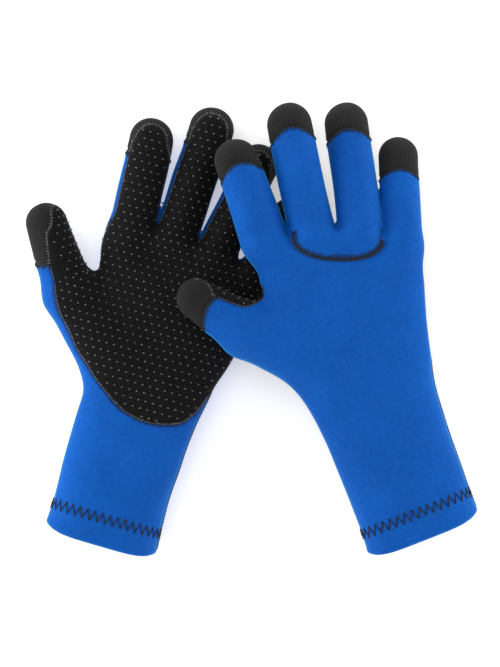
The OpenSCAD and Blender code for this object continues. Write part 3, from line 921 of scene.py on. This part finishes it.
def cuff_points(glove, ahead, angle, depth=0.0, slid=False):
    """Places on the cuff and the way out of it, at a distance ahead of the wrist and an angle round the
    oval, 0 at the little finger's side and a quarter turn at the back: the half width times cos^(2/p) and
    the half thickness times sin^(2/p). The two are also moved in by the depth. Past the wrist the places
    turn with the hand, and they may be slid along the slope until they lie on the skin."""
    full = lambda c: np.sign(c) * np.abs(c) ** (2 / FULL)
    half_w, half_t = glove.half_w(ahead), HALF_T(ahead)
    u = glove.shift(ahead) + (half_w - depth) * full(np.cos(angle))
    w = (half_t - depth) * full(np.sin(angle))
    turned = step(-20, 20, ahead)[..., None]
    xy = glove.from_hand(u, ahead, 0) * (1 - turned) + glove.from_hand(u, ahead, 1) * turned
    q = np.concatenate([xy, w[..., None]], -1).reshape(-1, 3)
    for _ in range(3 if slid else 0):
        q = q - glove.slope(q) * glove.depth(*q.T)[:, None]
    n = glove.slope(q)
    up = unit(glove.world(q + n * 0.5) - glove.world(q - n * 0.5))
    q = q + n * ripple(q)[:, None]
    return glove.world(q).reshape(*ahead.shape, 3), up.reshape(*ahead.shape, 3)


def ring_faces(rows, around):
    """Squares of a net that is closed round its second direction."""
    i, j = np.meshgrid(np.arange(rows - 1), np.arange(around), indexing="ij")
    return np.stack([i * around + j, i * around + (j + 1) % around,
                     (i + 1) * around + (j + 1) % around, (i + 1) * around + j], -1).reshape(-1, 4)


def add_cuff(glove):
    """The hem, the lining and the zigzag. The hem is a profile carried round the mouth: out of the skin, half
    a turn over the edge, and back inside to the stitch. At the two sides it draws back with the mouth, by
    MOUTH_BACK times the 5th power of the cosine. The lining carries on from there."""
    side = glove.side
    around = 160
    angle = np.arange(around) * 2 * np.pi / around
    turn = np.linspace(0, np.pi, 9)
    r = SHEET * 0.95
    ahead = np.concatenate([[3.0, 1.2], -np.sin(turn) * r, np.linspace(1.5, HEM_L, 8)]) - CUFF_L
    depth = np.concatenate([[0.35, -0.12], -0.12 + r - np.cos(turn) * r, np.full(8, 2 * r)])
    a, b = np.meshgrid(ahead, angle, indexing="ij")
    back = MOUTH_BACK * np.abs(np.cos(b)) ** 5 * step(HEM_L, 2, a + CUFF_L)
    v, _ = cuff_points(glove, a + back, b, depth[:, None] + 0 * a)
    faces = ring_faces(len(ahead), around)
    faces = faces if glove.up > 0 else faces[:, ::-1]
    normals = point_normals(v.reshape(-1, 3), np.concatenate([faces[:, [0, 1, 2]], faces[:, [0, 2, 3]]]))
    piece = make(side + "_cuff_hem_fold", v.reshape(-1, 3), [faces], JERSEY, "blue_neoprene", normals,
                 seam=np.full(v.size // 3, 9.0))
    go_with(piece, glove, "hand")
    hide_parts(side + "_cuff_hem")

    ahead = np.concatenate([[HEM_L - 2], np.linspace(HEM_L, CUFF_L * 0.62, 14)]) - CUFF_L
    a, b = np.meshgrid(ahead, angle, indexing="ij")
    v, _ = cuff_points(glove, a, b, SHEET + 0.7 + 0.25 * np.sin(b * 23) + 0 * a)
    faces = ring_faces(len(ahead), around)
    faces = faces[:, ::-1] if glove.up > 0 else faces
    piece = make(side + "_cuff_lining_tube", v.reshape(-1, 3), [faces], LINING, "cuff_lining")
    go_with(piece, glove, "hand")
    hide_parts(side + "_cuff_lining")

    mouth = HEM_L - CUFF_L
    girth = np.pi * (33 + 21) * 1.03
    n = int(round(girth / ZIGZAG_PITCH))
    dense = np.linspace(0, 2 * np.pi, 2001)
    p, _ = cuff_points(glove, np.full(2001, float(mouth)), dense)
    arc = np.concatenate([[0], np.cumsum(np.linalg.norm(np.diff(p, axis=0), axis=1))])
    steps = 8
    k = np.arange(2 * n * steps + 1) / steps
    tooth = np.abs((k % 2) - 1) * 2 - 1
    where = np.interp(k / (2 * n) * arc[-1], arc, dense)
    path, up = cuff_points(glove, mouth + tooth * ZIGZAG_W / 2, where)
    parts = []
    legs = np.arange(2 * n)[:, None] * steps + np.arange(steps + 1)[None]
    bow = -0.28 + 0.62 * np.sin(np.linspace(0, np.pi, steps + 1)) ** 0.5
    leg_paths = path[legs] + up[legs] * bow[None, :, None]
    parts.append(tubes(leg_paths, up[legs], np.full(steps + 1, 0.32)))
    corners = np.arange(2 * n) * steps
    here, out = path[corners], up[corners]
    along = unit(path[(corners + steps) % (len(path) - 1)] - path[corners - steps])
    cross = np.cross(out, along)
    knot = np.linspace(-0.55, 0.55, 4)
    rise = np.array([0.0, 0.3, 0.3, 0.0])
    knots = here[:, None] + along[:, None] * knot[None, :, None] + out[:, None] * rise[None, :, None]
    parts.append(tubes(knots, out[:, None] + 0 * knots, [0.3, 0.45, 0.45, 0.3]))
    sew(glove, "hand", "cuff_zigzag", parts, THREAD, "cuff_stitch")


def add_dots(glove):
    """Grip dots on the palm side: an even staggered grid drawn square to the palm, or to the thumb's rolled
    palm side, pressed out onto the skin by halving the step 24 times. Each dot is an oval dome: two rings of
    8 squares and a top of 8 triangles."""
    rng = np.random.default_rng(7)
    places = []
    for region in ("hand", "thumb"):
        if region == "hand":
            lines = np.arange(-30, 190, DOT_PITCH)
            row, col = np.meshgrid(np.arange(len(lines)), np.arange(-26, 26), indexing="ij")
            u, v = col * DOT_PITCH + (row % 2) * DOT_HALF_STEP, lines[row]
            start = glove.from_hand(u.ravel(), v.ravel())
            start = np.concatenate([start, np.zeros((len(start), 1))], -1)
            way = np.tile([0.0, 0.0, -1.0], (len(start), 1))
        else:
            f, roll = glove.fingers["thumb"], THUMB_ROLL
            row, col = np.meshgrid(np.arange(-6, 12), np.arange(-4, 5), indexing="ij")
            t, out = row * THUMB_DOT_PITCH + 1, col * DOT_PITCH + (row % 2) * DOT_HALF_STEP
            t, out = t.ravel(), out.ravel()
            flat = f["root"] + t[:, None] * f["ahead"] + (out * np.cos(roll))[:, None] * f["across"]
            start = np.concatenate([flat, (out * np.sin(roll))[:, None]], -1)
            way = np.tile([*(f["across"] * np.sin(roll)), -np.cos(roll)], (len(start), 1))
        low, high = np.zeros(len(start)), np.full(len(start), 32.0)
        ok = glove.depth(*start.T) < -0.5
        for _ in range(24):
            mid = (low + high) / 2
            inside = glove.depth(*(start + way * mid[:, None]).T) < 0
            low, high = np.where(inside, mid, low), np.where(inside, high, mid)
        q = start + way * low[:, None]
        n = glove.slope(q)
        on_thumb = (glove.root(q)[0] > 0) & (glove.root(q).argmax(0) == 0)
        ok &= (glove.palm(q) > 1.5) & (np.sum(n * way, -1) > 0.3) & (on_thumb == (region == "thumb"))
        places.append(q[ok])
    q = np.concatenate(places)
    n = glove.slope(q)
    q = q + n * (ripple(q) + 0.02)[:, None]
    own = owner(glove, q)
    v = glove.world(q)
    up = unit(glove.world(q + n * 0.5) - v)
    h = glove.turns[1]
    along = unit(np.cross(np.cross(up, [np.cos(h), np.sin(h), 0]), up))
    side = np.cross(up, along)
    turn = np.arange(8) * np.pi / 4
    rings = [(1.0, -0.1), (0.82, 0.34), (0.42, 0.56)]
    long = (0.62 + 0.16 * rng.random(len(q)))[:, None, None]
    dome = np.concatenate([v[:, None] + long * k * (side[:, None] * np.cos(turn)[None, :, None] * 1.15
                                                     + along[:, None] * np.sin(turn)[None, :, None] * 0.85)
                           + up[:, None] * z for k, z in rings] + [v[:, None] + up[:, None] * 0.6], 1)
    base = ring_faces(3, 8)
    top = np.stack([16 + np.arange(8), 16 + (np.arange(8) + 1) % 8, np.full(8, 24)], -1)
    for code in np.unique(own):
        pick = np.flatnonzero(own == code)
        shift = (np.arange(len(pick)) * 25)[:, None, None]
        who = "hand" if code == 0 else FINGERS[code - 1]
        faces = [(base[None] + shift).reshape(-1, 4), (top[None] + shift).reshape(-1, 3)]
        piece = make(f"{glove.side}_{who}_grip_dots", dome[pick].reshape(-1, 3), faces, DOT, "grip_palm")
        go_with(piece, glove, who)


for side in ("left", "right"):
    build_glove(side)


# ------------------------------------------------------------------ floor, light and camera

def stage_floor():
    """A pale floor 3 m each way, faintly uneven in tone, with a weak glow that stands in for a lit table."""
    f = Finish("pale_floor", Roughness=0.9, Specular_IOR_Level=0.1, Emission_Color=(1, 1, 1, 1),
               Emission_Strength=0.4)
    f.feed("Base Color", f.mix(f.noise(6, 2), (0.93, 0.93, 0.93, 1), (0.96, 0.96, 0.96, 1)))
    size = np.linspace(-1500, 1500, 13)
    x, y = np.meshgrid(size, size, indexing="ij")
    v = np.stack([x.ravel(), y.ravel(), np.full(x.size, FLOOR_Z)], -1)
    i, j = np.meshgrid(np.arange(12), np.arange(12), indexing="ij")
    k = (i * 13 + j).ravel()
    mesh = bpy.data.meshes.new("floor")
    mesh.from_pydata((v * 0.001).tolist(), [], np.stack([k, k + 13, k + 14, k + 1], -1).tolist())
    mesh.materials.append(f.material)
    floor = bpy.data.objects.new("floor", mesh)
    bpy.context.scene.collection.objects.link(floor)


def light(name, place, aim, size, power):
    """A soft square lamp at a place, turned to an aim."""
    data = bpy.data.lights.new(name, "AREA")
    data.size, data.energy = size, power
    lamp = bpy.data.objects.new(name, data)
    way = np.array(aim, float) - place
    lamp.location = place
    yaw, tilt = np.arctan2(way[1], way[0]), np.arctan2(np.hypot(*way[:2]), -way[2])
    lamp.rotation_euler = (tilt, 0, yaw - np.pi / 2)
    bpy.context.scene.collection.objects.link(lamp)


def set_camera():
    """Straight down over the pair, from 4 m, with a frame 290 mm wide at the gloves' middle height."""
    lo, hi = np.array(cad_box[0]), np.array(cad_box[1])
    centre = (lo + hi) / 2
    camera = bpy.data.objects.new("camera", bpy.data.cameras.new("camera"))
    camera.location = (-0.0012, -0.0030, CAMERA_Z)
    camera.data.sensor_width = 36
    camera.data.sensor_fit = "AUTO"
    camera.data.lens = 36 * (CAMERA_Z - centre[2]) / (FRAME_W * FRAME_SHAPE)
    bpy.context.scene.collection.objects.link(camera)
    bpy.context.scene.camera = camera


set_camera()
stage_floor()
light("top", (-0.25, 0.3, 1.3), (0, 0, 0.02), 0.9, 5.5)
for x, y, power in ((-0.95, 0.55, 8.5), (0.95, 0.55, 6.5), (-0.9, -0.6, 7.0), (0.9, -0.6, 6.0)):
    light("side", (x, y, 0.3), (0, 0, 0.02), 0.7, power)
world = bpy.data.worlds.new("studio")
world.use_nodes = True
world.node_tree.nodes["Background"].inputs[0].default_value = (1, 1, 1, 1)
world.node_tree.nodes["Background"].inputs[1].default_value = 0.45
bpy.context.scene.world = world
bpy.context.scene.view_settings.view_transform = "Standard"
